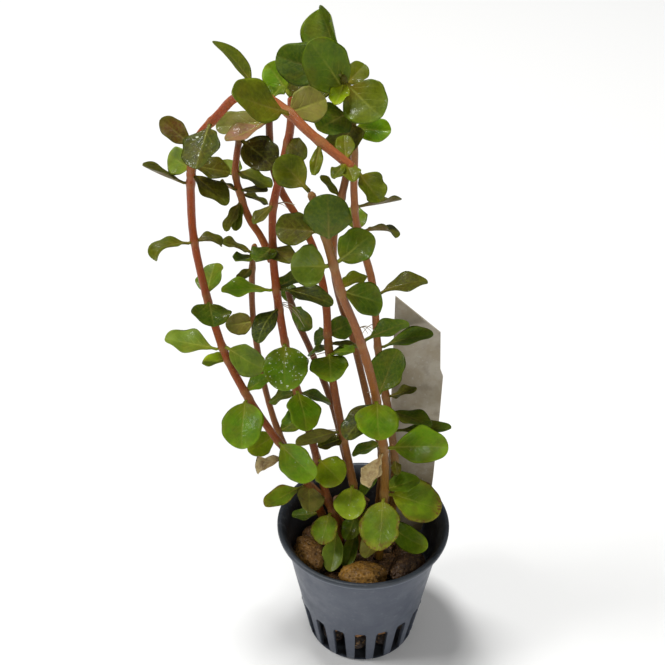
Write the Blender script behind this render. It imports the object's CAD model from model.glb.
"""Potted blood red rotala: the finished surfaces of the plant, its pot, its clay pebbles and its label.

Shapes are made in millimetres and turned into metres when a mesh is built. Angles are in degrees.
"""

import math
import random
from collections import namedtuple

import bmesh
import bpy
from mathutils import Matrix, Quaternion, Vector, noise


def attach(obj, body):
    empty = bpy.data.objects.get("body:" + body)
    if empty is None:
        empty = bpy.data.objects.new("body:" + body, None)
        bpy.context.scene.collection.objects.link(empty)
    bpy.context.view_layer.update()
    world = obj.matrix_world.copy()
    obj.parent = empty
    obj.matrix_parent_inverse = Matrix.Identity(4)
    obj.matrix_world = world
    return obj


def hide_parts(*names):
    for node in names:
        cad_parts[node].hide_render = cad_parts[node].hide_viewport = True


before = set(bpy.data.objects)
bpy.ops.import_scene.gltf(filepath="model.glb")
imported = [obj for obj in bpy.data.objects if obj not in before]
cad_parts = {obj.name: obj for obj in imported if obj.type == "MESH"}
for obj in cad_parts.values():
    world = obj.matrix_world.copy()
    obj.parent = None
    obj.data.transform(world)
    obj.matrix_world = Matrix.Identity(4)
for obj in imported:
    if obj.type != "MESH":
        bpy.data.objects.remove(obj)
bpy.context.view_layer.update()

MM = 0.001

# Vector noise starts from a fixed seed, so that every run gives the same shapes
NOISE_SEED = 7
noise.seed_set(NOISE_SEED)

# Photograph's view: its camera in millimetres and degrees, and its focal length in pixels
PHOTO_SIDE = 665
PHOTO_FOCAL = 1000
CAMERA_PLACE = (0, -217.9, 263.1)
CAMERA_PITCH = 34.45
CAMERA_TURN = 2.44
SENSOR_WIDTH = 36

# Pot. Its slots start 0.3 mm higher than the solid's, clear of the rounded foot
POT_HEIGHT = 45
POT_RIM_RADIUS = 26
POT_WALL_TOP_RADIUS = 24.1
POT_BASE_RADIUS = 16.7
POT_WALL = 0.9
POT_FLOOR = 1.5
POT_FOOT_ROUND = 1.5
POT_BEVEL = 0.12
POT_SHARP_ANGLE = 50
LIP_WIDTH = 1.4
LIP_HEIGHT = 1.6
LIP_BEND = 1.2
SLOT_COUNT = 18
SLOT_WIDTH = 3.6
SLOT_TOP = 15.8
SLOT_FOOT = 0.9
SLOT_CORNER = 0.8

# Pot's mesh: rows up the wall where slots cut it and above them, and columns around it
CUT_ROWS = 10
PLAIN_ROWS = 16
SLOT_COLUMNS = 8
RIB_COLUMNS = 8
PITCH_COLUMNS = SLOT_COLUMNS + RIB_COLUMNS
CORNER_REACH = 2
SAME_LEVEL = 0.01

# Label. It is 0.1 mm thinner than the solid, which leaves room for its bow
LABEL_THICKNESS = 0.7
LABEL_BOW = 0.3
LABEL_BEVEL = 0.16
LABEL_SHARP_ANGLE = 30
LABEL_TURN = -4
LABEL_PLACE = (14, 9.6, 0)
LABEL_FOOT = 32
LABEL_LENGTH = 87
LABEL_CUTS = range(36, 118, 3)
LABEL_SOIL_FADES = (40, 75)
LABEL_OUTLINE = [
    (-6.8, LABEL_FOOT),
    (4.4, LABEL_FOOT),
    (6.4, 42),
    (7, 55),
    (7.5, 80),
    (7.6, 93),
    (6.7, 95.5),
    (6, 108),
    (-6.8, LABEL_FOOT + LABEL_LENGTH),
]

# Stems
STEM_SIDES = 16
STEM_STEP = 0.6
STEM_WAVES = 23
STEM_WAVE_DEPTH = 0.03
NODE_SWELL = 0.16
NODE_REACH = 1.0
NODE_PALENESS = 0.35
STEM_END_TAPER = 0.6
UPPER_COLOUR_FADES = (0, 0.7)
TIP_COLOUR_FADES = (0.8, 0.95)

# A large leaf's blade starts a little off its stem. Its stalk reaches into the stem, to a share of
# the radius, as a small leaf's does. Past the tip's share, leaves point straight off the stem's end.
LEAF_REST = 0.65
ROOTED_SHARE = 0.3
TIP_SHARE = 0.97
PETIOLE_WIDTH = 1.0

# Slender leaves narrow to a stalk and are widest past the middle, broad ones are full near the stem
SLENDER_RATIO = 0.55
BROAD_RATIO = 0.8
PETIOLE_SHARE = (0.08, 0.03)
WIDEST_AT = (0.58, 0.48)
BASE_POWER = (0.9, 0.55)
TIP_POWER = (0.5, 0.54)
BLADE_THICKNESS = 0.34
PETIOLE_THICKNESS = 0.7
HALF_COLUMNS = 8
BASE_ROWS = 13
TIP_ROWS = 12

# Relief of a blade: its fold along the midrib, the rib below it, its wavy edge and its uneven outline
FOLD_DEPTH = 0.22
FOLD_WIDTH = 0.22
RIB_DEPTH = 0.2
RIB_WIDTH = 0.45
EDGE_WAVES = 1.7
UNEVENNESS = 0.12
RIM_FROM = 0.72


def rgb(code):
    """A hex colour as the linear light that Blender works in."""
    parts = [int(code[i : i + 2], 16) / 255 for i in (1, 3, 5)]
    return Vector([c / 12.92 if c <= 0.04045 else ((c + 0.055) / 1.055) ** 2.4 for c in parts])


def ramp(low, high, x):
    """Goes smoothly from 0 at low to 1 at high."""
    t = min(1, max(0, (x - low) / (high - low)))
    return t * t * (3 - 2 * t)


POT_OUTER = rgb("#414856")
POT_LIP = rgb("#262d35")
POT_WORN = rgb("#7a818c")
POT_INNER = rgb("#0f1317")
LABEL_SOILED = rgb("#6e6248")
LABEL_CLEAN = rgb("#988c76")
ROOT_FOOT = rgb("#6a5238")
ROOT_TIP = rgb("#b8aa88")

# Rounded edges of the lip: steps out and up from the rim's lower and upper edge
UNDER_LIP = [(-0.45, -0.05, POT_WORN), (-0.1, 0.15, POT_WORN), (0, 0.45, POT_OUTER)]
OVER_LIP = [(0, -0.5), (-0.15, -0.15), (-0.45, 0), (0.4 - LIP_WIDTH, 0), (0.1 - LIP_WIDTH, -0.2)]

# A leaf's look: the colours of its face, of the heart near the stalk, of its rim and of its
# underside, and how many brown spots it has near the rim
LOOKS = {
    "bright": ("#5c8600", "#808606", "#82a008", "#6e8a24", 0.1),
    "fresh": ("#7c9400", "#94940c", "#9caa18", "#8a8c3c", 0.15),
    "mid": ("#4c6800", "#6c7006", "#68800a", "#5a6c1c", 0),
    "deep": ("#385000", "#525806", "#4c6206", "#445812", 0),
    "pale": ("#688020", "#7c841c", "#8a9c3c", "#7c8044", 0),
    "olive": ("#4c5400", "#6c6004", "#5e6804", "#6a582a", 0),
    "golden": ("#5e6200", "#86700c", "#687a04", "#7a6430", 0),
    "dark": ("#443e02", "#624e06", "#465004", "#604a26", 0),
    "dusky": ("#322200", "#543c04", "#3a3a02", "#7c4832", 0),
    "red": ("#50300c", "#5a4410", "#4a4a08", "#7c442c", 0),
    "pink": ("#94604c", "#805a34", "#66602a", "#9a6650", 0),
    "grey": ("#787034", "#7c6830", "#6c722c", "#84784c", 0.2),
    "spotted": ("#6c8a0e", "#8a8c12", "#9e9024", "#82883e", 0.9),
    "ringed": ("#566004", "#746406", "#54720a", "#6a6c30", 0),
    "lime": ("#86a014", "#949c1c", "#a2b42c", "#8c9440", 0.1),
    "murky": ("#34380a", "#4c4008", "#3e480a", "#4a421c", 0),
    "shade": ("#202a00", "#2c3002", "#2e3a04", "#34361a", 0),
    "dry": ("#b8a472", "#8c6c36", "#c8b482", "#a08a56", 0.6),
}
DARK_LOOKS = ("dark", "dusky", "red", "olive", "golden", "deep")

# A shoot's radii are its foot's and its tip's, its colours the foot's, the upper part's and the
# tip's, and its path runs from the pebbles to its tip. A leaf's row holds its place along the shoot
# as a share of the shoot's length, the heading of its midrib seen from above (0 is +X, 90 is +Y), its
# rise above level, its length from the stem's middle, its width, its look, how far it bends down
# along its length, its roll about the midrib, how far its edges lift as a share of its width, and
# what else sets it apart: curl in degrees, wave and crumple in millimetres, sway as a share of its
# length, and wet, which is 1 for some beads on the leaf and 2 for many.
Shoot = namedtuple("Shoot", "name radii colours path large small")
Leaf = namedtuple(
    "Leaf",
    "at heading rise length width look bend roll cup extra",
    defaults=[0, 0, 0.1, {}],
)
WET = {"wet": 1}

ARCHING_STEM = Shoot(
    name="arching_stem",
    radii=(1.2, 0.95),
    colours=("#84441a", "#b04a14", "#ac6038"),
    path=[
        (-10, 2, 33), (-13, 2, 46), (-17.5, 1, 60), (-23, 0, 72), (-27, 1, 78), (-33.5, 4, 88),
        (-40, 8, 101), (-44, 10, 118), (-46, 10, 135), (-45, 6, 150), (-43, 1, 161), (-40, -5, 170),
        (-34, -10, 178), (-29, -15, 184), (-23, -22, 187), (-17, -30, 187), (-12, -34, 184),
        (-3.4, -37.6, 178.4),
    ],
    large=[
        (1, 336, -42, 8.2, 6.8, "olive", 10, 15, 0.2),
        (0.919, 221, 30, 15.8, 9.4, "golden", 0, -46, 0.08, {"wave": 0.5}),
        (0.857, 141, 38, 15, 6.8, "olive", 10, 20, 0.1, {"wave": 0.15, "sway": -0.12}),
        (0.757, 258, -22, 13.2, 9.3, "murky", 15, 12, 0.1, WET),
        (0.628, 204, 34, 13.2, 6.5, "dark", 0, 5, 0.15, {"wave": 0.3}),
        (0.53, 219, 25, 14, 6, "olive", 40, 0, 0.2, {"curl": 75}),
        (0.44, 288, -4, 10.2, 10.6, "deep", 20, -10, 0.08, WET),
        (0.37, 183, 19, 16.4, 9.2, "pale", 10, -8, 0.1, {"wave": 0.9}),
        (0.37, 330, -15, 14, 8.8, "pale", 20, 60, 0.1, {"wave": 0.5}),
        (0.29, 269, -32, 15.4, 12.4, "bright", 10, 8, 0.08),
        (0.215, 315, -22, 16, 11.2, "bright", 20, 65, 0.08, WET),
        (0.125, 212, 3, 14.6, 7.4, "spotted", 20, 0, 0.12),
        (0.19, 205, -6, 10.5, 6, "dry", 30, 20, 0.35, {"crumple": 1.1}),
    ],
    small=[
        (0.99, 95, 24, 7, 4, "golden"),
        (0.99, 241, -13, 5, 3, "olive", 10),
        (0.99, 290, -19, 5, 4, "golden", 10),
        (0.96, 257, -42, 7, 2.6, "golden", 0, -10),
        (0.916, 38, 5, 9, 7.4, "grey", 0, 50),
        (0.88, 73, 6, 6, 4, "mid"),
        (0.7, 154, 30, 10.5, 5.2, "red", 0, -48, 0.05),
        (0.66, 10, -6, 9.5, 6.5, "dark", 20, 28, 0.1, WET),
        (0.655, 138, 6, 9.5, 7, "pale", 10, -60, 0.1, WET),
        (0.645, 330, -20, 12, 7.4, "dark", 15),
        (0.53, 6, 15, 8, 5, "dark", 40, 0, 0.2, {"curl": 50}),
        (0.45, 83, 24, 11, 8.4, "mid", 5, -20),
        (0.35, 156, -13, 9, 5.5, "fresh", 10, -15),
        (0.3, 39, 16, 9, 6, "bright", 10),
        (0.12, 276, -4, 9.6, 8.4, "grey", 10, -20),
        (0.06, 187, 4, 9, 5, "deep", 10),
    ],
)
LEFT_BRANCH = Shoot(
    name="left_branch",
    radii=(1, 0.8),
    colours=("#c46a2c", "#a45424", "#6a3012"),
    path=[
        (-24.9, 1.7, 134), (-28, 7, 138), (-31, 9, 142), (-33, 10, 148), (-34, 10, 155), (-32, 8, 166),
    ],
    large=[(0.95, 326, -22, 11.5, 9.2, "dusky", 15, 30, 0.1, WET)],
    small=[
        (0.69, 348, -11, 10, 7, "olive", 15),
        (0.66, 118, 13, 7, 6, "pale", 0, 0, 0.1, WET),
        (0.55, 207, 37, 6, 4, "dusky"),
        (0.55, 341, 14, 8, 5, "dark", 10),
        (0.52, 18, -19, 8, 5, "dark", 20),
        (0.475, 227, -38, 9, 4, "dark", 20),
        (0.475, 248, -53, 8, 4, "olive", 10),
    ],
)
BACK_LEFT_STEM = Shoot(
    name="back_left_stem",
    radii=(1.05, 0.85),
    colours=("#80562a", "#94582e", "#8a5c30"),
    path=[
        (-6, 9, 33), (-12, 9, 44), (-20, 11, 54), (-26, 14, 66), (-30, 18, 79), (-32, 20, 91),
        (-33, 20, 108), (-32, 18, 124), (-31, 17, 130),
    ],
    large=[(0.38, 236, 9, 12.8, 7.4, "fresh", 20, -50)],
    small=[
        (0.97, 201, 40, 10, 6, "dark", 20),
        (0.96, 234, 19, 7, 6, "mid", 10),
        (0.92, 233, -10, 6, 4, "dark", 10),
        (0.74, 208, 7, 8.4, 6.6, "grey", 10, -52),
        (0.38, 40, 10, 9, 6, "mid", 10, 20),
    ],
)
CENTRE_LEFT_STEM = Shoot(
    name="centre_left_stem",
    radii=(1.25, 0.95),
    colours=("#6c3c16", "#9c4214", "#a8522a"),
    path=[
        (-6, -1, 33), (-9, -1, 48), (-12, 0, 59), (-15, 1, 74), (-19, 1, 92), (-22, 0, 110),
        (-24, 0, 130), (-24, 0, 148), (-22, 0, 158), (-19, -3, 171), (-18, -7, 181),
    ],
    large=[
        (1, 140, 36, 9.5, 6.5, "bright", 0, -50),
        (0.63, 199, 19, 14.5, 8, "bright", 20, 0, 0.1, {"wave": 0.8}),
        (0.63, 346, 1, 15.5, 8, "shade", 20),
        (0.52, 275, -28, 14.2, 12, "bright", 20, 0, 0.08, {"wet": 2}),
        (0.41, 289, -19, 13.4, 9.8, "bright", 20, -14, 0.08),
        (0.24, 313, -12, 10.8, 10, "fresh", 20, 30, 0.08),
        (0.11, 253, -25, 11, 9, "spotted", 20, 15),
    ],
    small=[
        (0.98, 52, 22, 14, 10.5, "dark", 0, 20, 0.1, WET),
        (0.91, 296, 2, 8.5, 6, "dark", 20, 60),
        (0.79, 237, -10, 8, 4, "dark", 10),
        (0.71, 244, 11, 8, 7, "deep", 20, 0, 0.1, WET),
        (0.71, 307, 5, 8, 7, "dark", 20),
        (0.63, 43, 13, 9, 6, "deep", 10),
        (0.59, 247, 18, 13, 6, "shade", 70),
        (0.4, 176, -19, 9, 6, "deep", 15),
        (0.4, 18, -24, 11, 6, "deep", 15),
        (0.35, 186, -20, 7, 6, "bright", 10),
        (0.06, 261, -26, 13.2, 6.6, "pale", 10, 6),
    ],
)
DARK_STEM = Shoot(
    name="dark_stem",
    radii=(1.1, 0.9),
    colours=("#6c4820", "#74401a", "#64381a"),
    path=[
        (0, 9, 33), (-5, 9, 58), (-10, 10, 82), (-16, 12, 99), (-20, 12, 110), (-22, 12, 119),
    ],
    large=[],
    small=[
        (0.94, 298, -6, 10.2, 6, "deep", 20, 65),
        (0.94, 110, 30, 8, 5, "deep", 10),
    ],
)
TAN_STEM = Shoot(
    name="tan_stem",
    radii=(1.3, 0.9),
    colours=("#785422", "#98481c", "#7c3e18"),
    path=[
        (-1, 0, 33), (-3, 0, 58), (-6, 0, 76), (-9, 0, 96), (-10.5, 1, 110), (-11, 3, 119),
        (-12.5, 6, 127), (-15, 9, 135), (-19, 11, 142), (-23, 12, 149), (-25, 11, 158), (-25, 9, 170),
    ],
    large=[
        (0.52, 274, 4, 12, 10.2, "mid", 20, 4),
        (0.19, 265, -27, 11.4, 9.6, "lime", 20, 10, 0.08, WET),
    ],
    small=[
        (0.99, 188, -2, 13, 7, "grey", 10, -35, 0.1, WET),
        (0.99, 212, -12, 12, 6, "pink", 0, -10),
        (0.56, 150, -38, 6, 5, "deep", 10, -45),
        (0.56, 41, 2, 8.4, 6.6, "deep", 10, 50),
        (0.54, 20, -19, 9, 4, "dark"),
        (0.53, 161, -23, 7, 5, "mid", 20),
        (0.52, 335, 26, 8, 6, "mid", 10),
        (0.33, 213, 16, 15, 6, "grey", 20),
        (0.31, 208, 9, 8, 6, "shade", 20),
        (0.1, 246, -20, 8.5, 6, "mid", 20),
        (0.06, 252, -24, 13, 5.6, "deep", 10, 15),
    ],
)
FRONT_STEM = Shoot(
    name="front_stem",
    radii=(1.35, 0.95),
    colours=("#806026", "#9c5c2c", "#8c6434"),
    path=[
        (5, -4, 33), (6, -4, 59), (5, -8, 82), (2, -13, 105), (-2, -20, 126), (-6, -25, 141),
        (-9, -30, 157), (-11, -29, 164), (-12.8, -27.3, 168),
    ],
    large=[
        (1, 148, 34, 10.2, 7.4, "olive", 0, -40),
        (0.93, 262, 73, 12, 10.4, "deep", -40, 8, 0.08),
        (0.94, 174, 4, 10.6, 7.4, "dark", 10, -52),
        (0.87, 196, 8, 9.5, 9.5, "pale", 15, -48),
        (0.87, 26, 32, 11, 8.6, "mid", 5, 27),
        (0.66, 35, 8, 14, 6.8, "deep", 10),
        (0.49, 57, 50, 14.4, 10, "deep", 0, 0, 0.08),
        (0.49, 277, -18, 12, 11.6, "bright", 20, -3, 0.08),
        (0.34, 350, 16, 18, 11, "bright", 20, 28),
        (0.19, 352, -6, 17.4, 13, "spotted", 20, 22, 0.08),
        (0.185, 261, -26, 16.6, 12.8, "spotted", 15, 18, 0.08),
        (0.33, 250, -22, 12, 7, "dry", 0, 30, 0.35, {"crumple": 1.2}),
    ],
    small=[
        (0.81, 45, 11, 8, 5, "golden", 20),
        (0.8, 18, -25, 12, 8, "mid", 15, 48),
        (0.48, 227, -18, 13, 8, "shade", 20),
        (0.35, 170, -26, 10, 6, "deep", 10),
        (0.2, 23, 11, 11, 8, "mid", 10),
        (0.11, 316, 5, 17, 8, "mid", 10, 60),
        (0.08, 243, -2, 11, 6.6, "grey", 10, 15),
    ],
)
BACK_CENTRE_STEM = Shoot(
    name="back_centre_stem",
    radii=(1.1, 0.9),
    colours=("#6c4a1e", "#8c5224", "#8c5a30"),
    path=[
        (4, 5, 33), (5, 5, 65), (2, 7, 78), (-1, 8, 92), (-4.5, 9.2, 107), (-7.2, 9.2, 116),
        (-9, 6, 128), (-9, 2, 141), (-7, -1, 154), (-5, -3, 166), (-5, -5, 175),
    ],
    large=[],
    small=[
        (0.85, 188, 50, 7.8, 3, "olive", 0, -30),
        (0.23, 237, -33, 13.2, 6.6, "deep", 10, 25),
    ],
)
RIGHT_STEM = Shoot(
    name="right_stem",
    radii=(1.3, 0.8),
    colours=("#80602e", "#a46232", "#5e5e16"),
    path=[
        (8, 2, 33), (9, 3, 63), (6, 6, 85), (3, 6, 104), (1, 4, 126), (-3, 0, 144), (-4, -4, 156),
        (-4, -9, 170), (-5, -14, 181), (-6.4, -16.4, 189.5),
    ],
    large=[
        (1, 119, 44, 15.6, 11, "mid", 0, -72, 0.36),
        (1, 160, 9, 15.4, 9, "deep", 0, -62, 0.06, {"wave": 0.4}),
        (0.99, 324, -27, 11.2, 10.2, "ringed", 0, 42),
        (0.945, 235, 0, 10.9, 9, "deep", 5, -32, 0.12),
        (0.7, 336, 29, 12, 6, "dark", 30, -30, 0.15, {"curl": 40}),
        (0.56, 15, 30, 15, 8, "dark", 40),
        (0.45, 356, 36, 16, 8, "deep", 30),
        (0.27, 346, 17, 18, 6, "deep", 0, 0, 0.15),
    ],
    small=[
        (0.985, 58, 18, 7.8, 5.4, "golden", 0, 24),
        (0.988, 254, -20, 6.6, 4.6, "fresh"),
        (0.91, 351, 1, 8.6, 5.8, "bright", 0, 48),
        (0.75, 21, 4, 12, 6, "dark", 5, -25, 0.15),
        (0.7, 104, 17, 9, 7, "mid", 10),
        (0.34, 345, 35, 10, 5, "dark", 10),
        (0.31, 330, 12, 14, 7, "deep", 20),
        (0.21, 277, -7, 6, 3, "dark", 10),
        (0.972, 210, 55, 15.2, 10.4, "mid", 0, -90, 0.06),
        (0.92, 253, -34, 8.5, 9.4, "dark", 0, 13),
    ],
)
SHOOTS = [
    ARCHING_STEM,
    LEFT_BRANCH,
    BACK_LEFT_STEM,
    CENTRE_LEFT_STEM,
    DARK_STEM,
    TAN_STEM,
    FRONT_STEM,
    BACK_CENTRE_STEM,
    RIGHT_STEM,
]

# Loose pebbles: middle, half sizes, turn about the pot's axis and colour
LOOSE_PEBBLES = [
    ("front_pebble", (0.5, -14.5, 36.4), (7, 4.6, 3.6), 4, "#a07224"),
    ("left_pebble", (-15.8, -5.8, 36.1), (4.2, 6.6, 3.4), 28, "#845c20"),
    ("right_pebble", (13.6, -9.8, 35.8), (6.2, 4.4, 3.2), 40, "#553a20"),
    ("back_pebble", (-4.3, 16.6, 35.6), (6, 3.8, 3.2), 10, "#5f4424"),
]
BED_TOP_PEBBLES = [
    ((-15, 5.5, 30.6), (4.2, 4.8, 3.6), 10),
    ((5.5, 14.5, 30.4), (5, 4, 3.6), 80),
    ((13.8, 1.5, 30.6), (4.6, 5, 3.6), 20),
    ((-1.5, -6.5, 30), (4.6, 4.2, 3.6), 60),
    ((7.5, -4.5, 29.6), (4.8, 4, 3.4), 70),
    ((-8.5, -12.5, 30), (4.4, 4, 3.6), 25),
]
BED_TOP_COLOUR = "#6a4820"

# The bed's layers by height and colour, and the radius of its pebbles
BED_LAYERS = [(5.6, "#20140c"), (12.4, "#b47c44"), (19, "#4a3018"), (25.6, "#3c2814")]
BED_PEBBLE = 3.9
BED_CLEARANCE = 0.5

# A pebble's relief, as shares of its size
PEBBLE_WAVE = 0.05
PEBBLE_LUMPS = 0.09
PIT_REACH = 0.3
PIT_DEPTH = 0.22

# Hair roots: fine threads that grow out of a stem at a node. Each row holds the stem's name, the
# share of its length, the headings, and the length and the droop in millimetres.
HAIR_ROOTS = [
    ("centre_left_stem", 0.6, (330, 350, 10), 7, 5),
    ("centre_left_stem", 0.79, (20, 350, 60), 5, 2),
    ("tan_stem", 0.52, (320, 200), 6, 2.5),
    ("tan_stem", 0.33, (190, 170), 5, 1.5),
    ("front_stem", 0.7, (60, 40, 20), 6, 4),
    ("front_stem", 0.49, (100, 120), 5, 3),
    ("right_stem", 0.5, (10, 200), 5, 3),
    ("back_centre_stem", 0.5, (200, 330), 5, 3),
]
ROOT_STEPS = 12
ROOT_SIDES = 5
ROOT_RADIUS = 0.13
ROOT_TAPER = 0.07

# Studio, in metres: the floor's half side, and each lamp's place, size and power
FLOOR_REACH = 3
LAMPS = [
    ("overhead", (-0.6, 0.4, 3.2), 0.6, 78),
    ("window", (-2.2, -0.4, 2.4), 0.8, 38),
    ("front_fill", (1.6, -3, 2), 2, 38),
]
LAMPS_AIM = (0, 0, 0.1)
WORLD_STRENGTH = 0.22


class Skin:
    """The points, faces and paint of one mesh, in millimetres, while it is put together."""

    def __init__(self):
        self.points = []
        self.faces = []
        self.tints = []
        self.marks = []
        self.coords = []

    def add(self, point, tint, mark=(0, 0, 0), coord=(0, 0)):
        self.points.append(tuple(c * MM for c in point))
        self.tints.append((*tint, 1))
        self.marks.append((*mark, 1))
        self.coords.append(coord)
        return len(self.points) - 1

    def band(self, low, high):
        """Quads between two closed rings of points."""
        count = len(low)
        for j in range(count):
            k = (j + 1) % count
            self.faces.append((low[j], low[k], high[k], high[j]))

    def fan(self, ring, tip):
        """Triangles from a closed ring of points to one point."""
        count = len(ring)
        for j in range(count):
            self.faces.append((ring[j], ring[(j + 1) % count], tip))

    def build(self, name, material):
        mesh = bpy.data.meshes.new(name)
        mesh.from_pydata(self.points, [], self.faces)
        for layer_name, rows in (("tint", self.tints), ("marks", self.marks)):
            layer = mesh.color_attributes.new(layer_name, "FLOAT_COLOR", "POINT")
            layer.data.foreach_set("color", [c for row in rows for c in row])
        grain = mesh.uv_layers.new(name="grain")
        for loop in mesh.loops:
            grain.data[loop.index].uv = self.coords[loop.vertex_index]
        for polygon in mesh.polygons:
            polygon.use_smooth = True
        mesh.validate()
        return stand(name, mesh, material)


def stand(name, mesh, material):
    """An object of a mesh with its material, in the scene."""
    mesh.materials.append(material)
    made = bpy.data.objects.new(name, mesh)
    bpy.context.scene.collection.objects.link(made)
    return made


def soften(made, name, width, segments, angle):
    """Bevels the edges that are sharper than an angle."""
    bevel = made.modifiers.new(name, "BEVEL")
    bevel.width = width * MM
    bevel.segments = segments
    bevel.limit_method = "ANGLE"
    bevel.angle_limit = math.radians(angle)


class Paint:
    """A material and the nodes that paint it."""

    # Sockets of a Mix node for colours: the factor and the two colours, and the result
    MIX_INPUTS = (0, 6, 7)
    MIX_OUTPUT = 2

    def __init__(self, name):
        self.material = bpy.data.materials.new(name)
        self.material.use_nodes = True
        self.tree = self.material.node_tree
        self.shader = self.tree.nodes["Principled BSDF"]

    def put(self, socket, value):
        """Sets a socket, or links it where the value is another node's socket."""
        if isinstance(value, bpy.types.NodeSocket):
            self.tree.links.new(value, socket)
        else:
            socket.default_value = value

    def node(self, kind, settings=None, **inputs):
        made = self.tree.nodes.new("ShaderNode" + kind)
        for key, value in (settings or {}).items():
            setattr(made, key, value)
        for key, value in inputs.items():
            self.put(made.inputs[key], value)
        return made

    def finish(self, **inputs):
        for key, value in inputs.items():
            self.put(self.shader.inputs[key.replace("_", " ")], value)
        return self.material

    def tint(self):
        return self.node("Attribute", {"attribute_name": "tint"}).outputs["Color"]

    def marks(self):
        picked = self.node("Attribute", {"attribute_name": "marks"})
        return self.node("SeparateColor", Color=picked.outputs["Color"]).outputs

    def grain(self):
        return self.node("UVMap", {"uv_map": "grain"}).outputs["UV"]

    def place(self):
        return self.node("TexCoord").outputs["Object"]

    def cloud(self, scale, detail=3.0, roughness=0.6, vector=None):
        where = vector or self.place()
        made = self.node("TexNoise", Vector=where, Scale=scale, Detail=detail, Roughness=roughness)
        return made.outputs["Fac"]

    def cells(self, scale):
        return self.node("TexVoronoi", Vector=self.place(), Scale=scale).outputs["Distance"]

    def curve(self, value, low, high, to_low=0.0, to_high=1.0):
        """Goes smoothly from to_low to to_high while the value goes from low to high."""
        made = self.node("MapRange", {"interpolation_type": "SMOOTHSTEP"}, Value=value)
        ends = {"From Min": low, "From Max": high, "To Min": to_low, "To Max": to_high}
        for key, number in ends.items():
            made.inputs[key].default_value = number
        return made.outputs["Result"]

    def maths(self, how, x, y=0.0):
        made = self.node("Math", {"operation": how})
        self.put(made.inputs[0], x)
        self.put(made.inputs[1], y)
        return made.outputs["Value"]

    def times(self, x, y):
        return self.maths("MULTIPLY", x, y)

    def mix(self, amount, below, above):
        """One colour over another, by an amount."""
        made = self.node("Mix", {"data_type": "RGBA"})
        factor, first, second = (made.inputs[k] for k in self.MIX_INPUTS)
        self.put(factor, amount)
        for socket, colour in ((first, below), (second, above)):
            self.put(socket, colour if isinstance(colour, bpy.types.NodeSocket) else (*colour, 1))
        return made.outputs[self.MIX_OUTPUT]

    def lay(self, below, mask, share, colour):
        """A colour over another where a mask is, at a share of the mask's strength."""
        return self.mix(self.times(mask, share), below, colour)

    def bump(self, height, strength, distance, below=None):
        made = self.node("Bump", Height=height, Strength=strength, Distance=distance)
        if below is not None:
            self.tree.links.new(below, made.inputs["Normal"])
        return made.outputs["Normal"]


# Colours laid over a surface's own tint, in linear light
LEAF_SHADE = (0.02, 0.04, 0.001)
LEAF_WARMTH = (0.16, 0.10, 0.004)
LEAF_FLECK = (0.30, 0.36, 0.01)
LEAF_SPOT = (0.16, 0.06, 0.015)
BEAD_GLINT = (0.74, 0.8, 0.62)
STEM_STREAK = (0.05, 0.016, 0.002)
STEM_BLOTCH = (0.32, 0.11, 0.014)
STEM_FLECK = (0.55, 0.34, 0.10)
STEM_NODE = (0.30, 0.19, 0.06)
DRY_BLOTCH = (0.16, 0.07, 0.025)
DRY_STREAK = (0.55, 0.46, 0.24)
CLAY_SHADE = (0.05, 0.022, 0.008)
CLAY_GRIT = (0.52, 0.30, 0.10)
CLAY_PIT = (0.03, 0.014, 0.006)
POT_HAZE = (0.20, 0.22, 0.26)
POT_SCUFF = (0.34, 0.36, 0.40)
LABEL_SMEAR = (0.50, 0.46, 0.39)
LABEL_BLOT = (0.16, 0.13, 0.09)
LABEL_SPECK = (0.55, 0.53, 0.48)
ROOT_STAIN = (0.24, 0.17, 0.10)
FLOOR_COLOUR = (0.86, 0.86, 0.85, 1)

# The grain's coordinates are millimetres along and across a surface, divided by this
GRAIN_SCALE = 20

# Side veins of a leaf, in millimetres: how far apart, how far they wander, and their slant
VEIN_SPACING = 2.1
VEIN_WANDER = 2.2
VEIN_SLANT = 1.15


def vein_mask(paint, faded):
    """A pale midrib with faint side veins, which fade towards the tip."""
    split = paint.node("SeparateXYZ", Vector=paint.grain())
    along = paint.times(split.outputs["X"], GRAIN_SCALE)
    across = paint.times(paint.maths("SUBTRACT", split.outputs["Y"], 0.5), GRAIN_SCALE)
    away = paint.maths("ABSOLUTE", across)
    midrib = paint.times(paint.curve(away, 0.04, 0.4, 1, 0), faded)
    midrib = paint.times(midrib, paint.curve(paint.cloud(700, 2), 0.3, 0.6, 0.45, 1))
    wander = paint.times(paint.cloud(260), VEIN_WANDER)
    slanted = paint.maths("SUBTRACT", along, paint.times(away, VEIN_SLANT))
    slanted = paint.maths("DIVIDE", paint.maths("ADD", slanted, wander), VEIN_SPACING)
    comb = paint.maths("ABSOLUTE", paint.maths("SUBTRACT", paint.maths("FRACT", slanted), 0.5))
    side_vein = paint.curve(comb, 0.0, 0.14, 1, 0)
    side_vein = paint.times(side_vein, paint.curve(away, 0.3, 4.2, 1, 0.15))
    side_vein = paint.times(side_vein, faded)
    return paint.maths("MAXIMUM", paint.times(midrib, 0.6), paint.times(side_vein, 0.26))


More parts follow.
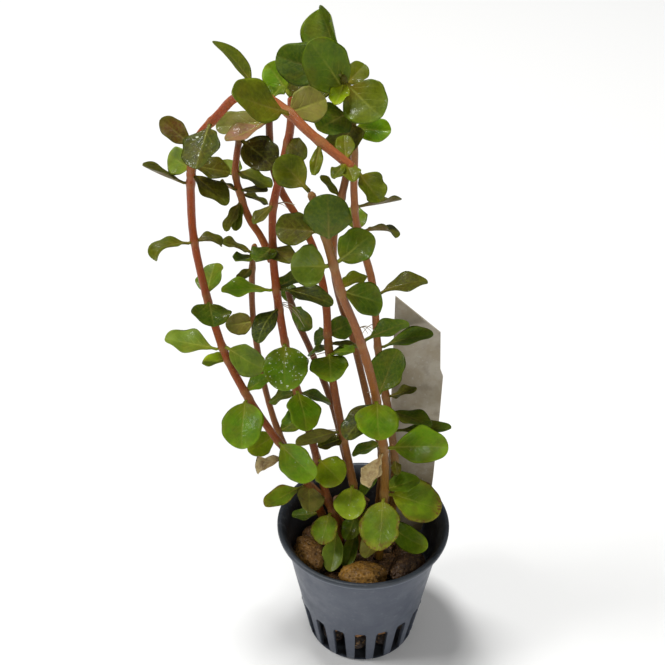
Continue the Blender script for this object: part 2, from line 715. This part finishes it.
def leaf_paint(name, roughness, coat, rib, beads=0.0):
    """Blade paint: the tint, veins in the rib's colour, mottling, spots and wet beads."""
    paint = Paint(name)
    marks = paint.marks()
    veins = vein_mask(paint, paint.curve(marks["Blue"], 0.1, 0.95, 1, 0.25))
    patches = paint.curve(paint.cloud(230, 4), 0.35, 0.68)
    warm = paint.curve(paint.cloud(150, 3, 0.6), 0.46, 0.7)
    fine = paint.curve(paint.cloud(1400, 2), 0.3, 0.7)
    colour = paint.lay(paint.tint(), patches, 0.42, LEAF_SHADE)
    colour = paint.lay(colour, warm, 0.3, LEAF_WARMTH)
    colour = paint.lay(colour, fine, 0.12, LEAF_FLECK)
    colour = paint.mix(veins, colour, rib)
    dots = paint.curve(paint.cloud(900, 3), 0.5, 0.6)
    spot = paint.times(dots, paint.times(marks["Red"], marks["Green"]))
    colour = paint.mix(spot, colour, LEAF_SPOT)

    height = paint.maths("SUBTRACT", paint.times(paint.cloud(520, 3), 0.9), veins)
    normal = paint.bump(height, 0.6, 0.0003)
    rough = paint.curve(paint.cloud(340, 2), 0.3, 0.75, roughness - 0.1, roughness + 0.14)
    film = normal
    if beads:
        gathered = paint.curve(paint.cloud(170, 2), 0.7 - 0.5 * beads, 0.82 - 0.42 * beads)
        drops = paint.times(paint.curve(paint.cells(950), 0.05, 0.45, 1, 0), gathered)
        film = paint.bump(drops, beads, 0.0008, normal)
        glints = paint.curve(paint.cloud(1100, 2), 0.67 - 0.05 * beads, 0.74 - 0.05 * beads)
        colour = paint.lay(colour, paint.times(glints, gathered), 0.85, BEAD_GLINT)
    return paint.finish(
        Base_Color=colour,
        Roughness=rough,
        Normal=normal,
        Specular_IOR_Level=0.15,
        Coat_Weight=coat,
        Coat_Roughness=0.08,
        Coat_Normal=film,
    )


def stem_paint():
    """Wet stem: dark streaks along it, redder blotches, pale flecks and paler nodes."""
    paint = Paint("wet_stem")
    stretched = paint.node("Mapping", Vector=paint.grain(), Scale=(9, 2.2, 1)).outputs["Vector"]
    streaks = paint.curve(paint.cloud(3.2, 4, 0.7, stretched), 0.32, 0.7)
    blotches = paint.curve(paint.cloud(260, 3), 0.4, 0.72)
    flecks = paint.curve(paint.cloud(1500, 2), 0.62, 0.72)
    colour = paint.lay(paint.tint(), streaks, 0.5, STEM_STREAK)
    colour = paint.lay(colour, blotches, 0.3, STEM_BLOTCH)
    colour = paint.lay(colour, flecks, 0.35, STEM_FLECK)
    colour = paint.mix(paint.marks()["Red"], colour, STEM_NODE)
    normal = paint.bump(streaks, 0.4, 0.0002)
    normal = paint.bump(paint.cloud(900, 3), 0.35, 0.0002, normal)
    return paint.finish(
        Base_Color=colour,
        Roughness=paint.curve(blotches, 0, 1, 0.3, 0.46),
        Normal=normal,
        Specular_IOR_Level=0.15,
        Coat_Weight=0.15,
        Coat_Roughness=0.14,
        Coat_Normal=normal,
    )


def dry_paint():
    paint = Paint("dry_leaf")
    blotches = paint.curve(paint.cloud(420, 4), 0.36, 0.66)
    streaks = paint.curve(paint.cloud(1300, 3), 0.5, 0.66)
    colour = paint.lay(paint.tint(), blotches, 0.6, DRY_BLOTCH)
    colour = paint.lay(colour, streaks, 0.5, DRY_STREAK)
    normal = paint.bump(paint.cloud(900, 4), 0.8, 0.0004)
    return paint.finish(Base_Color=colour, Roughness=0.75, Normal=normal)


def clay_paint():
    paint = Paint("wet_clay")
    grit = paint.cloud(900, 5, 0.7)
    lumps = paint.curve(paint.cloud(240, 4), 0.35, 0.7)
    pits = paint.curve(paint.cells(800), 0.12, 0.5, 1, 0)
    colour = paint.lay(paint.tint(), lumps, 0.55, CLAY_SHADE)
    colour = paint.lay(colour, paint.curve(grit, 0.52, 0.7), 0.6, CLAY_GRIT)
    colour = paint.lay(colour, pits, 0.5, CLAY_PIT)
    normal = paint.bump(grit, 0.9, 0.0006)
    normal = paint.bump(pits, 0.6, -0.0004, normal)
    return paint.finish(
        Base_Color=colour,
        Roughness=paint.curve(paint.cloud(500, 2), 0.35, 0.7, 0.35, 0.75),
        Normal=normal,
        Coat_Weight=0.12,
        Coat_Roughness=0.2,
    )


def pot_paint():
    paint = Paint("pot_plastic")
    haze = paint.curve(paint.cloud(60, 4), 0.3, 0.75)
    scuffs = paint.curve(paint.cloud(520, 4, 0.75), 0.55, 0.72)
    colour = paint.lay(paint.tint(), haze, 0.16, POT_HAZE)
    colour = paint.lay(colour, scuffs, 0.14, POT_SCUFF)
    normal = paint.bump(paint.cloud(1800, 2), 0.16, 0.0002)
    normal = paint.bump(paint.cloud(140, 2), 0.25, 0.0005, normal)
    rough = paint.curve(paint.cloud(160, 3), 0.3, 0.7, 0.36, 0.55)
    return paint.finish(Base_Color=colour, Roughness=rough, Normal=normal)


def label_paint():
    paint = Paint("label_plastic")
    smears = paint.curve(paint.cloud(70, 5, 0.65), 0.38, 0.66)
    blots = paint.curve(paint.cloud(210, 4), 0.5, 0.7)
    specks = paint.curve(paint.cloud(1100, 2), 0.6, 0.75)
    colour = paint.lay(paint.tint(), smears, 0.55, LABEL_SMEAR)
    colour = paint.lay(colour, blots, 0.4, LABEL_BLOT)
    colour = paint.lay(colour, specks, 0.3, LABEL_SPECK)
    normal = paint.bump(paint.cloud(320, 3), 0.25, 0.0003)
    rough = paint.curve(paint.cloud(150, 3), 0.3, 0.7, 0.4, 0.62)
    return paint.finish(Base_Color=colour, Roughness=rough, Normal=normal)


def thread_paint():
    paint = Paint("hair_root")
    patches = paint.curve(paint.cloud(700, 2), 0.35, 0.65)
    colour = paint.lay(paint.tint(), patches, 0.5, ROOT_STAIN)
    return paint.finish(Base_Color=colour, Roughness=0.5, Coat_Weight=0.2)


class Stem:
    """A shoot's middle line, a Catmull-Rom curve through its path, measured along its length."""

    PER_SPAN = 40

    def __init__(self, shoot):
        self.radii = shoot.radii
        path = [Vector(p) for p in shoot.path]
        path = [2 * path[0] - path[1], *path, 2 * path[-1] - path[-2]]
        self.line = [path[1]]
        for i in range(1, len(path) - 2):
            before, start, end, after = path[i - 1 : i + 3]
            leave = (end - before) / 2
            arrive = (after - start) / 2
            for k in range(1, self.PER_SPAN + 1):
                t = k / self.PER_SPAN
                self.line.append(
                    start * (2 * t**3 - 3 * t**2 + 1)
                    + leave * (t**3 - 2 * t**2 + t)
                    + end * (3 * t**2 - 2 * t**3)
                    + arrive * (t**3 - t**2)
                )
        self.reach = [0.0]
        for start, end in zip(self.line, self.line[1:]):
            self.reach.append(self.reach[-1] + (end - start).length)
        self.length = self.reach[-1]

    def at(self, share):
        """The middle point and the direction at a share of the length."""
        goal = share * self.length
        low = 0
        high = len(self.reach) - 1
        while high - low > 1:
            middle = (low + high) // 2
            if self.reach[middle] <= goal:
                low = middle
            else:
                high = middle
        start, end = self.line[low], self.line[high]
        part = (goal - self.reach[low]) / (self.reach[high] - self.reach[low])
        return start.lerp(end, part), (end - start).normalized()

    def radius(self, share):
        return self.radii[0] + (self.radii[1] - self.radii[0]) * share


def tube(skin, middles, radii, sides, tints, marks, start_side):
    """A closed, slightly uneven tube with a pointed end along a line of points."""
    side = start_side.copy()
    rings = []
    travelled = 0.0
    for i, middle in enumerate(middles):
        ahead = middles[min(i + 1, len(middles) - 1)]
        behind = middles[max(i - 1, 0)]
        along = (ahead - behind).normalized()
        side = (side - along * side.dot(along)).normalized()
        across = along.cross(side)
        travelled += (middle - behind).length
        ring = []
        for j in range(sides):
            angle = 2 * math.pi * j / sides
            out = side * math.cos(angle) + across * math.sin(angle)
            grain = noise.noise(middle * 0.35 + out * 2.0)
            point = middle + out * radii[i] * (1 + 0.05 * grain)
            coord = (abs(2 * j / sides - 1), travelled / GRAIN_SCALE)
            ring.append(skin.add(point, tints[i], marks[i], coord))
        rings.append(ring)
    for low, high in zip(rings, rings[1:]):
        skin.band(low, high)
    skin.fan(rings[0][::-1], skin.add(middles[0], tints[0], marks[0]))
    onward = (middles[-1] - middles[-2]).normalized()
    skin.fan(rings[-1], skin.add(middles[-1] + onward * radii[-1] * 0.5, tints[-1], marks[-1]))


def stem_skin(stem, shoot, joints):
    """A stem with a swollen, paler ring at each place where leaves grow."""
    skin = Skin()
    foot, upper, tip = (rgb(c) for c in shoot.colours)
    steps = max(8, round(stem.length / STEM_STEP))
    middles, radii, tints, marks = [], [], [], []
    for i in range(steps + 1):
        share = i / steps
        middle, _ = stem.at(share)
        near = min(abs(share - joint) * stem.length for joint in joints)
        ring = math.exp(-((near / NODE_REACH) ** 2))
        wavy = 1 + STEM_WAVE_DEPTH * math.sin(share * STEM_WAVES)
        tint = foot.lerp(upper, ramp(*UPPER_COLOUR_FADES, share))
        middles.append(middle)
        radii.append(stem.radius(share) * wavy + NODE_SWELL * ring)
        tints.append(tint.lerp(tip, ramp(*TIP_COLOUR_FADES, share)))
        marks.append((NODE_PALENESS * ring, 0, 0))
    radii[-1] *= STEM_END_TAPER
    tube(skin, middles, radii, STEM_SIDES, tints, marks, Vector((1, 0, 0)))
    return skin


def between(pair, fullness):
    return pair[0] + (pair[1] - pair[0]) * fullness


def outline(u, fullness):
    """The half width at the share u of the length, as a share of the widest half width."""
    widest = between(WIDEST_AT, fullness)
    if u > widest:
        return max(0, 1 - ((u - widest) / (1 - widest)) ** 2) ** between(TIP_POWER, fullness)
    stalk = between(PETIOLE_SHARE, fullness)
    opened = max(0, u - stalk) / (widest - stalk)
    return math.sin(math.pi / 2 * opened) ** between(BASE_POWER, fullness)


def stations(fullness):
    """Shares of a leaf's length, closer together where its round tip turns in."""
    widest = between(WIDEST_AT, fullness)
    base = [widest * k / BASE_ROWS for k in range(BASE_ROWS)]
    tip = [widest + (1 - widest) * math.sin(math.pi / 2 * k / TIP_ROWS) for k in range(TIP_ROWS)]
    return base + tip


def leaf_axes(leaf):
    """Unit vectors along the midrib, to its left and up from the blade."""
    a = math.radians(leaf.heading)
    r = math.radians(leaf.rise)
    forward = Vector((math.cos(a) * math.cos(r), math.sin(a) * math.cos(r), math.sin(r)))
    left = Vector((-math.sin(a), math.cos(a), 0))
    up = forward.cross(left)
    spin = Quaternion(forward, math.radians(leaf.roll))
    return forward, spin @ left, spin @ up


def blade_colour(look, above, u, x, edge):
    """The colour at the share u of the length and x of the half width, on either face."""
    face, heart, rim, under = look
    if above:
        return heart.lerp(face, ramp(0.02, 0.5, u + 0.18 * abs(x))).lerp(rim, 0.6 * edge)
    return under.lerp(rim, 0.35 * edge)


def add_leaf(skin, stem, leaf, own, seed):
    """One leaf, as a thin closed blade on its stalk. A large leaf is a piece of its own."""
    chance = random.Random(seed)
    *codes, spots = LOOKS[leaf.look]
    look = [rgb(code) for code in codes]
    _, heart, rim, _ = look
    extra = leaf.extra
    shade = 1 + chance.uniform(-0.14, 0.14)
    wave = extra.get("wave", chance.uniform(0.25, 0.65))
    sway = extra.get("sway", chance.uniform(-0.05, 0.05)) * leaf.length
    fuller = chance.uniform(-0.07, 0.07)
    crumple = extra.get("crumple", 0)
    phase = chance.uniform(0, 1)
    side_phase = chance.uniform(0.8, 2.4)

    middle, along = stem.at(leaf.at)
    forward, left, up = leaf_axes(leaf)
    radius = stem.radius(leaf.at)
    outward = forward if leaf.at > TIP_SHARE else forward - along * forward.dot(along)
    outward = outward.normalized()
    start = radius + LEAF_REST if own else ROOTED_SHARE * radius
    point = middle + outward * start
    blade = leaf.length - start
    root = middle + outward * ROOTED_SHARE * radius

    def bent(vector, share):
        angle = leaf.bend * share + extra.get("curl", 0) * ramp(0.55, 1, share)
        return Quaternion(left, math.radians(angle)) @ vector

    ratio = (leaf.width / leaf.length - SLENDER_RATIO) / (BROAD_RATIO - SLENDER_RATIO)
    fullness = min(1, max(0, ratio))
    columns = [k / HALF_COLUMNS for k in range(-HALF_COLUMNS, HALF_COLUMNS + 1)]
    rings = []
    before = 0
    walked = 0.0
    for u in [None, *stations(fullness)]:
        if u is None:
            here = root
            u = 0
        else:
            point = point + bent(forward, (u + before) / 2) * blade * (u - before)
            walked += blade * (u - before)
            before = u
            here = point + left * sway * math.sin(math.pi * u) * u
        open_share = outline(u, fullness)
        half = max(PETIOLE_WIDTH / 2, leaf.width / 2 * open_share)
        stalk = 1 - ramp(0.05, 0.3, u)
        normal = bent(up, u)
        lift = leaf.cup * 2 * half

        def spot_at(x, above):
            """Adds the point at x, which is -1 on the right edge and 1 on the left one."""
            ruffle = noise.noise(Vector((4.5 * u, 3 * x, seed * 1.7)))
            uneven = 1 + fuller * x + UNEVENNESS * ruffle * open_share
            turn = 2 * math.pi * (EDGE_WAVES * u + phase) + (side_phase if x > 0 else 0)
            ripple = wave * x * x * open_share * math.sin(turn)
            fold = -FOLD_DEPTH * math.exp(-((x / FOLD_WIDTH) ** 2)) * open_share
            thick = (BLADE_THICKNESS + (PETIOLE_THICKNESS - BLADE_THICKNESS) * stalk) / 2
            thick *= math.sqrt(max(0, 1 - x * x))
            rib = RIB_DEPTH * math.exp(-((x * half / RIB_WIDTH) ** 2)) * (1 - u) * open_share
            depth = thick if above else -thick - rib
            place = here + left * (x * half * uneven) + normal * (lift * x * x + ripple + fold + depth)
            if crumple:
                jolt = noise.noise_vector(place * 0.42 + Vector((seed % 97, 0, 0)))
                place = place + jolt * crumple * open_share
            edge = ramp(RIM_FROM, 1, max(abs(x), u))
            cloud = 1 + 0.16 * noise.noise(place * 0.25)
            tint = blade_colour(look, above, u, x, edge) * shade * cloud
            coord = (walked / GRAIN_SCALE, 0.5 + x * half / GRAIN_SCALE)
            return skin.add(place, tint, (edge, spots, u), coord)

        ring = [spot_at(x, True) for x in columns]
        ring += [spot_at(x, False) for x in columns[-2:0:-1]]
        rings.append(ring)
    for low, high in zip(rings, rings[1:]):
        skin.band(high, low)
    skin.fan(rings[0], skin.add(root, heart))
    end = point + bent(forward, 1) * blade * (1 - before)
    skin.fan(rings[-1][::-1], skin.add(end, rim, (1, spots, 1), (walked / GRAIN_SCALE, 0.5)))


def leaf_material(leaf, paints):
    if leaf.look == "dry":
        return paints["dry"]
    wet = leaf.extra.get("wet", 0)
    if wet:
        return paints["beaded" if wet > 1 else "wet"]
    return paints["dark" if leaf.look in DARK_LOOKS else "green"]


def grow_plant(paints):
    """Every stem, with each large leaf as a piece and the small ones of a stem as a piece a paint."""
    for number, shoot in enumerate(SHOOTS):
        stem = Stem(shoot)
        name = shoot.name
        large = [Leaf(*row) for row in shoot.large]
        small = [Leaf(*row) for row in shoot.small]
        stalk = stem_skin(stem, shoot, {leaf.at for leaf in large + small if leaf.at < TIP_SHARE})
        made = stalk.build(name + "_stalk", paints["stem"])
        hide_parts(name)
        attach(made, "root")
        for k, leaf in enumerate(large):
            node = f"{name}_leaf_{k + 1}" if leaf.look != "dry" else f"{name}_dry_leaf"
            skin = Skin()
            add_leaf(skin, stem, leaf, True, 100 * number + k)
            made = skin.build(node + "_blade", leaf_material(leaf, paints))
            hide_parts(node)
            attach(made, "root")
        groups = {}
        for k, leaf in enumerate(small):
            material = leaf_material(leaf, paints)
            skin = groups.setdefault(material.name, (Skin(), material, leaf))[0]
            add_leaf(skin, stem, leaf, False, 100 * number + 50 + k)
        for kind, (skin, material, leaf) in groups.items():
            made = skin.build(f"{name}_small_leaves_{kind}", material)
            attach(made, "root")


def add_hair_roots(paint):
    skin = Skin()
    chance = random.Random(11)
    stems = {shoot.name: Stem(shoot) for shoot in SHOOTS}
    shares = [k / ROOT_STEPS for k in range(ROOT_STEPS + 1)]
    radii = [ROOT_RADIUS - ROOT_TAPER * k / ROOT_STEPS for k in range(ROOT_STEPS + 1)]
    tints = [ROOT_FOOT.lerp(ROOT_TIP, t) for t in shares]
    marks = [(0, 0, 0)] * len(shares)
    start_side = Vector((0, 0.3, 1)).normalized()
    for name, at, headings, length, droop in HAIR_ROOTS:
        stem = stems[name]
        middle, _ = stem.at(at)
        for heading in headings:
            a = math.radians(heading + chance.uniform(-12, 12))
            out = Vector((math.cos(a), math.sin(a), chance.uniform(-0.2, 0.35))).normalized()
            reach = length * chance.uniform(0.7, 1.1)
            sway = chance.uniform(-1, 1)
            points = []
            for t in shares:
                along = out * (stem.radius(at) * 0.6 + reach * t)
                wiggle = Vector((-out.y, out.x, 0)) * math.sin(t * 3 + sway) * 0.5 * t
                points.append(middle + along + wiggle - Vector((0, 0, droop * t * t)))
            tube(skin, points, radii, ROOT_SIDES, tints, marks, start_side)
    made = skin.build("hair_roots", paint)
    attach(made, "root")


def add_pebble(skin, middle, half, turn, seed, colour, fineness):
    """A lump of fired clay with a rough, pitted skin."""
    ball = bmesh.new()
    bmesh.ops.create_icosphere(ball, subdivisions=fineness, radius=1)
    spin = Matrix.Rotation(math.radians(turn), 3, "Z")
    offset = Vector((seed * 7.3, seed * 3.1, seed * 1.7))
    tint = rgb(colour)
    start = len(skin.points)
    for vertex in ball.verts:
        p = vertex.co
        wave = math.sin(4 * p.x + seed) * math.cos(3 * p.y + 2 * p.z + seed)
        lump = 1 + PEBBLE_WAVE * wave
        lump += PEBBLE_LUMPS * noise.fractal(p * 1.9 + offset, 0.7, 2.1, 4)
        pit = max(0, PIT_REACH - noise.voronoi(p * 3.2 + offset)[0][0])
        lump -= PIT_DEPTH * pit
        shape = Vector((half[0] * p.x, half[1] * p.y, half[2] * p.z)) * lump
        cloud = 1 + 0.35 * noise.noise(p * 2.4 + offset)
        skin.add(Vector(middle) + spin @ shape, tint * cloud * (1 - 1.1 * pit))
    for polygon in ball.faces:
        skin.faces.append(tuple(start + v.index for v in polygon.verts))
    ball.free()


def wall_radius(z):
    return POT_BASE_RADIUS + (POT_WALL_TOP_RADIUS - POT_BASE_RADIUS) * z / (POT_HEIGHT - LIP_HEIGHT)


def lay_loose_pebbles(clay):
    for k, (name, middle, half, turn, colour) in enumerate(LOOSE_PEBBLES):
        skin = Skin()
        add_pebble(skin, middle, half, turn, k + 1, colour, 6)
        made = skin.build(name + "_clay", clay)
        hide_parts(name)
        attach(made, "root")


def lay_bed(clay):
    """The bed's top pebbles, and rings of pebbles in layers below them."""
    bed = Skin()
    for k, (middle, half, turn) in enumerate(BED_TOP_PEBBLES):
        add_pebble(bed, middle, half, turn, k + 11, BED_TOP_COLOUR, 5)
    chance = random.Random(4)
    seed = 30
    for z, colour in BED_LAYERS:
        inner = wall_radius(z) - POT_WALL - BED_CLEARANCE
        for ring_radius in (inner - BED_PEBBLE, inner - 2.9 * BED_PEBBLE, 0):
            around = 2 * math.pi * ring_radius / (1.9 * BED_PEBBLE)
            count = max(1, math.floor(around))
            turned = chance.uniform(0, 360)
            for k in range(count):
                angle = math.radians(turned + 360 * k / count)
                size = BED_PEBBLE * chance.uniform(0.86, 1)
                half = (size, size * chance.uniform(0.85, 1), size * chance.uniform(0.85, 1))
                lift = chance.uniform(-0.5, 0.5)
                middle = (ring_radius * math.cos(angle), ring_radius * math.sin(angle), z + lift)
                seed += 1
                add_pebble(bed, middle, half, math.degrees(angle), seed, colour, 4)
    made = bed.build("pebble_bed_clay", clay)
    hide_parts("pebble_bed")
    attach(made, "root")


def pot_columns(radius):
    """Angles around the pot at a radius, in radians, with a column on both edges of every slot."""
    pitch = 2 * math.pi / SLOT_COUNT
    edge = math.asin(SLOT_WIDTH / 2 / radius)
    angles = []
    for k in range(SLOT_COUNT):
        middle = -math.pi / 2 + k * pitch
        angles += [middle - edge + 2 * edge * j / SLOT_COLUMNS for j in range(SLOT_COLUMNS)]
        rib = pitch - 2 * edge
        angles += [middle + edge + rib * j / RIB_COLUMNS for j in range(RIB_COLUMNS)]
    return angles


def slot_drop(column):
    """How far a slot's top edge comes down at a column, to round its corners."""
    x = abs(column / SLOT_COLUMNS - 0.5) * SLOT_WIDTH
    inner = SLOT_WIDTH / 2 - SLOT_CORNER
    if column > SLOT_COLUMNS or x <= inner:
        return 0
    return SLOT_CORNER * (1 - math.sqrt(max(0, 1 - ((x - inner) / SLOT_CORNER) ** 2)))


def pot_profile():
    """The pot's rings, up the outside and down the inside: radius, height, colour and the slots' side."""
    lip_foot = POT_HEIGHT - LIP_HEIGHT
    bend = lip_foot - LIP_BEND
    cut = [SLOT_FOOT + (SLOT_TOP - SLOT_FOOT) * k / CUT_ROWS for k in range(1, CUT_ROWS + 1)]
    plain = [SLOT_TOP + (bend - SLOT_TOP) * k / PLAIN_ROWS for k in range(1, PLAIN_ROWS + 1)]
    return [
        (POT_BASE_RADIUS - POT_FOOT_ROUND, 0, POT_OUTER, None),
        (POT_BASE_RADIUS - 0.45, 0.25, POT_OUTER, None),
        (wall_radius(SLOT_FOOT), SLOT_FOOT, POT_OUTER, None),
        *((wall_radius(z), z, POT_OUTER, "outside") for z in cut),
        *((wall_radius(z), z, POT_OUTER, None) for z in plain),
        (wall_radius(lip_foot - 0.6), lip_foot - 0.6, POT_OUTER, None),
        (wall_radius(lip_foot) + 0.35, lip_foot - 0.2, POT_WORN, None),
        *((POT_RIM_RADIUS + r, lip_foot + z, tint, None) for r, z, tint in UNDER_LIP),
        *((POT_RIM_RADIUS + r, POT_HEIGHT + z, POT_LIP, None) for r, z in OVER_LIP),
        (wall_radius(lip_foot) - POT_WALL + 0.35, lip_foot - 0.2, POT_INNER, None),
        (wall_radius(bend) - POT_WALL, bend, POT_INNER, None),
        *((wall_radius(z) - POT_WALL, z, POT_INNER, None) for z in plain[-2::-1]),
        *((wall_radius(z) - POT_WALL, z, POT_INNER, "inside") for z in cut[::-1]),
        (wall_radius(SLOT_FOOT) - POT_WALL, SLOT_FOOT, POT_INNER, None),
    ]


def pot_ring(skin, radius, z, tint, slots):
    """One ring of points; the slots' rounded corners pull it down near their tops."""
    ring = []
    for j, angle in enumerate(pot_columns(wall_radius(min(max(z, SLOT_FOOT), SLOT_TOP)))):
        height = z
        if slots and z > SLOT_TOP - CORNER_REACH:
            drop = slot_drop(j % PITCH_COLUMNS)
            height = z - drop * ramp(SLOT_TOP - CORNER_REACH, SLOT_TOP, z)
        ring.append(skin.add((radius * math.cos(angle), radius * math.sin(angle), height), tint))
    return ring


def clad_pot(skin, profile, rings):
    """Faces between the rings, with the slots left open."""
    count = SLOT_COUNT * PITCH_COLUMNS
    for i in range(len(rings) - 1):
        _, z, _, slots = profile[i]
        _, next_z, _, next_slots = profile[i + 1]
        level = min(z, next_z) >= SLOT_FOOT - SAME_LEVEL and max(z, next_z) <= SLOT_TOP + SAME_LEVEL
        for j in range(count):
            k = (j + 1) % count
            if level and (slots or next_slots) and j % PITCH_COLUMNS < SLOT_COLUMNS:
                continue
            skin.faces.append((rings[i][j], rings[i][k], rings[i + 1][k], rings[i + 1][j]))


def line_slots(skin, profile, rings):
    """The slots' walls, which join the outside to the inside."""
    outside = [i for i, row in enumerate(profile) if row[3] == "outside"]
    inside = [i for i, row in enumerate(profile) if row[3] == "inside"][::-1]
    outside.insert(0, outside[0] - 1)
    inside.insert(0, len(profile) - 1)
    low_out, low_in = rings[outside[0]], rings[inside[0]]
    top_out, top_in = rings[outside[-1]], rings[inside[-1]]
    for s in range(SLOT_COUNT):
        first = s * PITCH_COLUMNS
        last = first + SLOT_COLUMNS
        for m in range(len(outside) - 1):
            a, b = rings[outside[m]], rings[outside[m + 1]]
            c, d = rings[inside[m]], rings[inside[m + 1]]
            skin.faces.append((a[first], b[first], d[first], c[first]))
            skin.faces.append((a[last], c[last], d[last], b[last]))
        for j in range(first, last):
            skin.faces.append((low_out[j], low_in[j], low_in[j + 1], low_out[j + 1]))
            skin.faces.append((top_out[j], top_out[j + 1], top_in[j + 1], top_in[j]))


def make_pot(plastic):
    """A turned shell: up the outside, over the lip and down the inside, with a floor."""
    skin = Skin()
    profile = pot_profile()
    rings = [pot_ring(skin, *row) for row in profile]
    clad_pot(skin, profile, rings)
    line_slots(skin, profile, rings)
    skin.fan(rings[-1], skin.add((0, 0, POT_FLOOR), POT_INNER))
    skin.fan(rings[0][::-1], skin.add((0, 0, 0), POT_OUTER))
    made = skin.build("pot_shell", plastic)
    soften(made, "soft edges", POT_BEVEL, 2, POT_SHARP_ANGLE)
    made.data.set_sharp_from_angle(angle=math.radians(POT_SHARP_ANGLE))
    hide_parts("pot")
    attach(made, "root")


def make_label(plastic):
    """A thin strip of plastic, a little bowed, with its edges broken."""
    plate = bmesh.new()
    plate.faces.new([plate.verts.new((x * MM, 0, z * MM)) for x, z in LABEL_OUTLINE])
    back = bmesh.ops.extrude_face_region(plate, geom=list(plate.faces))["geom"]
    moved = [v for v in back if isinstance(v, bmesh.types.BMVert)]
    bmesh.ops.translate(plate, verts=moved, vec=(0, LABEL_THICKNESS * MM, 0))
    for level in LABEL_CUTS:
        bmesh.ops.bisect_plane(
            plate,
            geom=[*plate.verts, *plate.edges, *plate.faces],
            plane_co=(0, 0, level * MM),
            plane_no=(0, 0, 1),
        )
    bmesh.ops.recalc_face_normals(plate, faces=list(plate.faces))
    turn = Matrix.Rotation(math.radians(LABEL_TURN), 3, "Z")
    bow = LABEL_BOW * MM
    for vertex in plate.verts:
        share = (vertex.co.z / MM - LABEL_FOOT) / LABEL_LENGTH
        vertex.co.y += bow * math.sin(math.pi * share) - LABEL_THICKNESS / 2 * MM
        vertex.co = turn @ vertex.co + Vector(LABEL_PLACE) * MM
    mesh = bpy.data.meshes.new("plant_label_strip")
    plate.to_mesh(mesh)
    plate.free()
    tint = mesh.color_attributes.new("tint", "FLOAT_COLOR", "POINT")
    colours = []
    for vertex in mesh.vertices:
        colours += [*LABEL_SOILED.lerp(LABEL_CLEAN, ramp(*LABEL_SOIL_FADES, vertex.co.z / MM)), 1]
    tint.data.foreach_set("color", colours)
    made = stand("plant_label_strip", mesh, plastic)
    soften(made, "broken edges", LABEL_BEVEL, 3, LABEL_SHARP_ANGLE)
    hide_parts("plant_label")
    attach(made, "root")


def make_floor():
    paint = Paint("pale_floor").finish(Base_Color=FLOOR_COLOUR, Roughness=0.6)
    mesh = bpy.data.meshes.new("floor")
    corners = [(x * FLOOR_REACH, y * FLOOR_REACH, 0) for x, y in ((-1, -1), (1, -1), (1, 1), (-1, 1))]
    mesh.from_pydata(corners, [], [(0, 1, 2, 3)])
    plane = stand("floor", mesh, paint)


def light_stage():
    world = bpy.data.worlds.new("studio")
    world.use_nodes = True
    background = world.node_tree.nodes["Background"]
    background.inputs["Color"].default_value = (1, 1, 1, 1)
    background.inputs["Strength"].default_value = WORLD_STRENGTH
    bpy.context.scene.world = world
    for name, place, size, power in LAMPS:
        light = bpy.data.lights.new(name, "AREA")
        light.size = size
        light.energy = power
        lamp = bpy.data.objects.new(name, light)
        lamp.location = place
        aim = Vector(LAMPS_AIM) - Vector(place)
        lamp.rotation_euler = aim.to_track_quat("-Z", "Y").to_euler()
        bpy.context.scene.collection.objects.link(lamp)


def set_camera():
    camera = bpy.data.cameras.new("camera")
    camera.sensor_width = SENSOR_WIDTH
    camera.lens = SENSOR_WIDTH * PHOTO_FOCAL / PHOTO_SIDE
    camera.clip_start = 0.01
    eye = bpy.data.objects.new("camera", camera)
    eye.location = Vector(CAMERA_PLACE) * MM
    eye.rotation_euler = (math.radians(90 - CAMERA_PITCH), 0, math.radians(CAMERA_TURN))
    bpy.context.scene.collection.objects.link(eye)
    bpy.context.scene.camera = eye
    bpy.context.scene.view_settings.view_transform = "Standard"


paints = {
    "stem": stem_paint(),
    "green": leaf_paint("green_leaf", 0.5, 0.08, (0.30, 0.32, 0.04)),
    "dark": leaf_paint("dark_leaf", 0.52, 0.05, (0.20, 0.17, 0.03)),
    "wet": leaf_paint("wet_leaf", 0.5, 0.1, (0.26, 0.26, 0.04), beads=0.4),
    "beaded": leaf_paint("beaded_leaf", 0.46, 0.25, (0.26, 0.28, 0.04), beads=1.0),
    "dry": dry_paint(),
}
grow_plant(paints)
add_hair_roots(thread_paint())
clay = clay_paint()
lay_loose_pebbles(clay)
lay_bed(clay)
make_pot(pot_paint())
make_label(label_paint())
make_floor()
light_stage()
set_camera()
